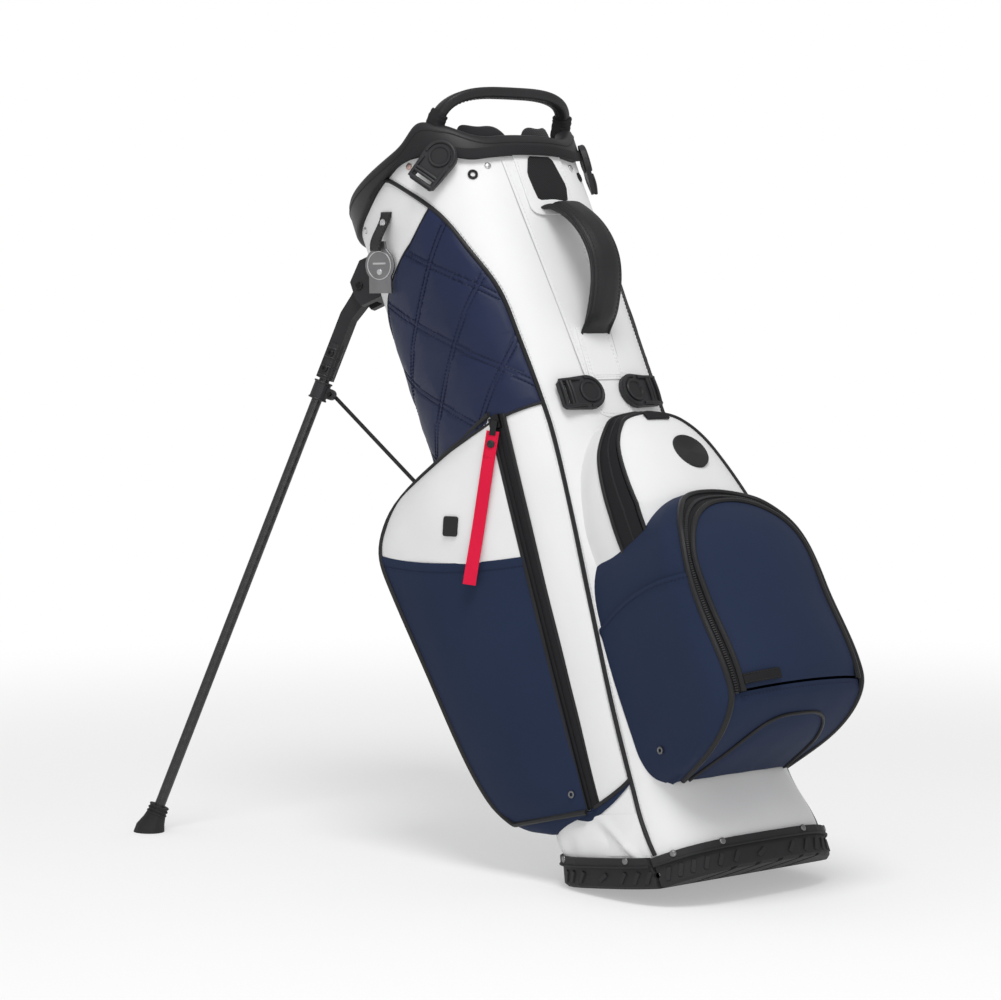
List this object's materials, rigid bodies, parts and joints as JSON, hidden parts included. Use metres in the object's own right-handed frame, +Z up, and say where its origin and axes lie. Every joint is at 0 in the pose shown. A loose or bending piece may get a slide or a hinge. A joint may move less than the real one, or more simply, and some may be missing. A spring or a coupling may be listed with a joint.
{
  "type": "golf stand bag",
  "caption": "Leaning golf stand bag with pockets, handles and strap clips; a split base works folding legs through a lift wire and push rods.",
  "frame": {"origin": "on the ground, in the middle of the strip of the hinged base flap's sole that rests there", "axes": "+Z up, +X away from the legs towards the pockets, +Y across the bag to its far side"},
  "size_m": [0.8475, 0.629, 0.8971],
  "materials": {
    "white_leatherette": "smooth coated leatherette",
    "navy_fabric": "dense knit over foam",
    "black_plastic": "moulded, fine texture",
    "black_rubber": "soft moulded rubber",
    "black_leather": "grained leatherette",
    "black_foam": "fabric over foam",
    "grey_cloth": "thin lining cloth",
    "grey_fibre": "glass-fibre rod",
    "steel": "plain drawn steel",
    "woven_tube": "lacquered woven fibre",
    "red_ribbon": "woven ribbon",
    "grey_metal": "dull grey metal"
  },
  "bodies": {
    "bag": {"bag_shell": "white_leatherette", "base_cup": "black_plastic", "flap_hinge_pin": "steel", "collar": "black_plastic", "top_divider": "black_foam", "club_divider_panels": "grey_cloth", "putter_lip_near": "black_foam", "putter_lip_far": "black_foam", "stay_near": "grey_fibre", "stay_far": "grey_fibre", "grab_handle": "black_rubber", "carry_handle": "black_leather", "ball_pocket": "navy_fabric", "upper_pocket": "white_leatherette", "side_pocket_near": "navy_fabric", "side_pocket_far": "navy_fabric", "zip_tape_near": "black_foam", "zip_tape_far": "black_foam", "hip_pad": "black_foam", "leg_bracket_near": "black_plastic", "leg_bracket_far": "black_plastic", "pivot_pin_near": "steel", "pivot_pin_far": "steel", "clip_disc_top_near": "black_plastic", "clip_disc_top_far": "black_plastic", "clip_disc_mid_near": "black_plastic", "clip_disc_mid_far": "black_plastic", "tag_tab": "black_plastic"},
    "flap": {"base_flap": "black_plastic"},
    "wire": {"lift_wire": "steel", "rod_link_near": "black_plastic", "rod_link_far": "black_plastic"},
    "leg_near": {"leg_arm_near": "black_plastic", "leg_tube_near": "woven_tube", "rod_clamp_near": "black_plastic", "foot_near": "black_rubber"},
    "rod_near": {"push_rod_near": "steel"},
    "leg_far": {"leg_arm_far": "black_plastic", "leg_tube_far": "woven_tube", "rod_clamp_far": "black_plastic", "foot_far": "black_rubber"},
    "rod_far": {"push_rod_far": "steel"},
    "drop_panel": {"ball_pocket_panel": "navy_fabric", "panel_pull": "black_leather"},
    "slider_near": {"zip_slider_near": "steel", "zip_ribbon_near": "red_ribbon"},
    "slider_far": {"zip_slider_far": "steel", "zip_ribbon_far": "red_ribbon"},
    "clip_top_near": {"clip_body_top_near": "black_plastic"},
    "clip_top_far": {"clip_body_top_far": "black_plastic"},
    "clip_mid_near": {"clip_body_mid_near": "black_plastic"},
    "clip_mid_far": {"clip_body_mid_far": "black_plastic"},
    "tag": {"bag_tag": "grey_metal"}
  },
  "joints": [
    {"name": "flap_hinge", "type": "hinge", "parent": "bag", "child": "flap", "pos_m": [0.16625, 0, 0.0345], "axis": [0, -1, 0], "range_deg": [0, 19]},
    {"name": "wire_slide", "type": "slide", "parent": "bag", "child": "wire", "axis": [0.2732, 0, -0.962], "range_m": [0, 0.06597]},
    {"name": "leg_swing_near", "type": "hinge", "parent": "bag", "child": "leg_near", "pos_m": [-0.40153, -0.085, 0.6623], "axis": [0.3867, -0.9018, 0.1928], "range_deg": [0, 39.6]},
    {"name": "rod_pivot_near", "type": "hinge", "parent": "leg_near", "child": "rod_near", "pos_m": [-0.42377, -0.12194, 0.53412], "axis": [0.3867, -0.9018, 0.1928], "range_deg": [-65.58, 0]},
    {"name": "leg_swing_far", "type": "hinge", "parent": "bag", "child": "leg_far", "pos_m": [-0.40153, 0.085, 0.6623], "axis": [-0.3867, -0.9018, -0.1928], "range_deg": [0, 39.6]},
    {"name": "rod_pivot_far", "type": "hinge", "parent": "leg_far", "child": "rod_far", "pos_m": [-0.42377, 0.12194, 0.53412], "axis": [-0.3867, -0.9018, -0.1928], "range_deg": [-65.58, 0]},
    {"name": "drop_panel_hinge", "type": "hinge", "parent": "bag", "child": "drop_panel", "pos_m": [0.26114, 0, 0.2437], "axis": [0, 1, 0], "range_deg": [0, 75]},
    {"name": "zip_run_near", "type": "slide", "parent": "bag", "child": "slider_near", "axis": [0.3801, -0.0156, -0.9248], "range_m": [0, 0.3]},
    {"name": "zip_run_far", "type": "slide", "parent": "bag", "child": "slider_far", "axis": [0.3801, 0.0156, -0.9248], "range_m": [0, 0.3]},
    {"name": "clip_swivel_top_near", "type": "hinge", "parent": "bag", "child": "clip_top_near", "pos_m": [-0.22686, -0.10864, 0.8142], "axis": [0.575, -0.7663, 0.2867], "range_deg": [-40, 40]},
    {"name": "clip_swivel_top_far", "type": "hinge", "parent": "bag", "child": "clip_top_far", "pos_m": [-0.22686, 0.10864, 0.8142], "axis": [0.575, 0.7663, 0.2867], "range_deg": [-40, 40]},
    {"name": "clip_swivel_mid_near", "type": "hinge", "parent": "bag", "child": "clip_mid_near", "pos_m": [-0.05581, -0.034, 0.54414], "axis": [0.889, -0.0925, 0.4484], "range_deg": [-40, 24]},
    {"name": "clip_swivel_mid_far", "type": "hinge", "parent": "bag", "child": "clip_mid_far", "pos_m": [-0.05581, 0.034, 0.54414], "axis": [0.889, 0.0925, 0.4484], "range_deg": [-24, 40]},
    {"name": "tag_swing", "type": "hinge", "parent": "bag", "child": "tag", "pos_m": [-0.30758, -0.12484, 0.72702], "axis": [-0.0887, -0.9953, -0.0401], "range_deg": [-35, 35]}
  ],
  "couplings": [
    {"joint": "wire_slide", "follows": "flap_hinge", "m_per_rad": 0.19894},
    {"joint": "leg_swing_near", "follows": "flap_hinge", "ratio": 2.0842},
    {"joint": "rod_pivot_near", "follows": "flap_hinge", "ratio": -3.4515},
    {"joint": "leg_swing_far", "follows": "flap_hinge", "ratio": 2.0842},
    {"joint": "rod_pivot_far", "follows": "flap_hinge", "ratio": -3.4515}
  ]
}
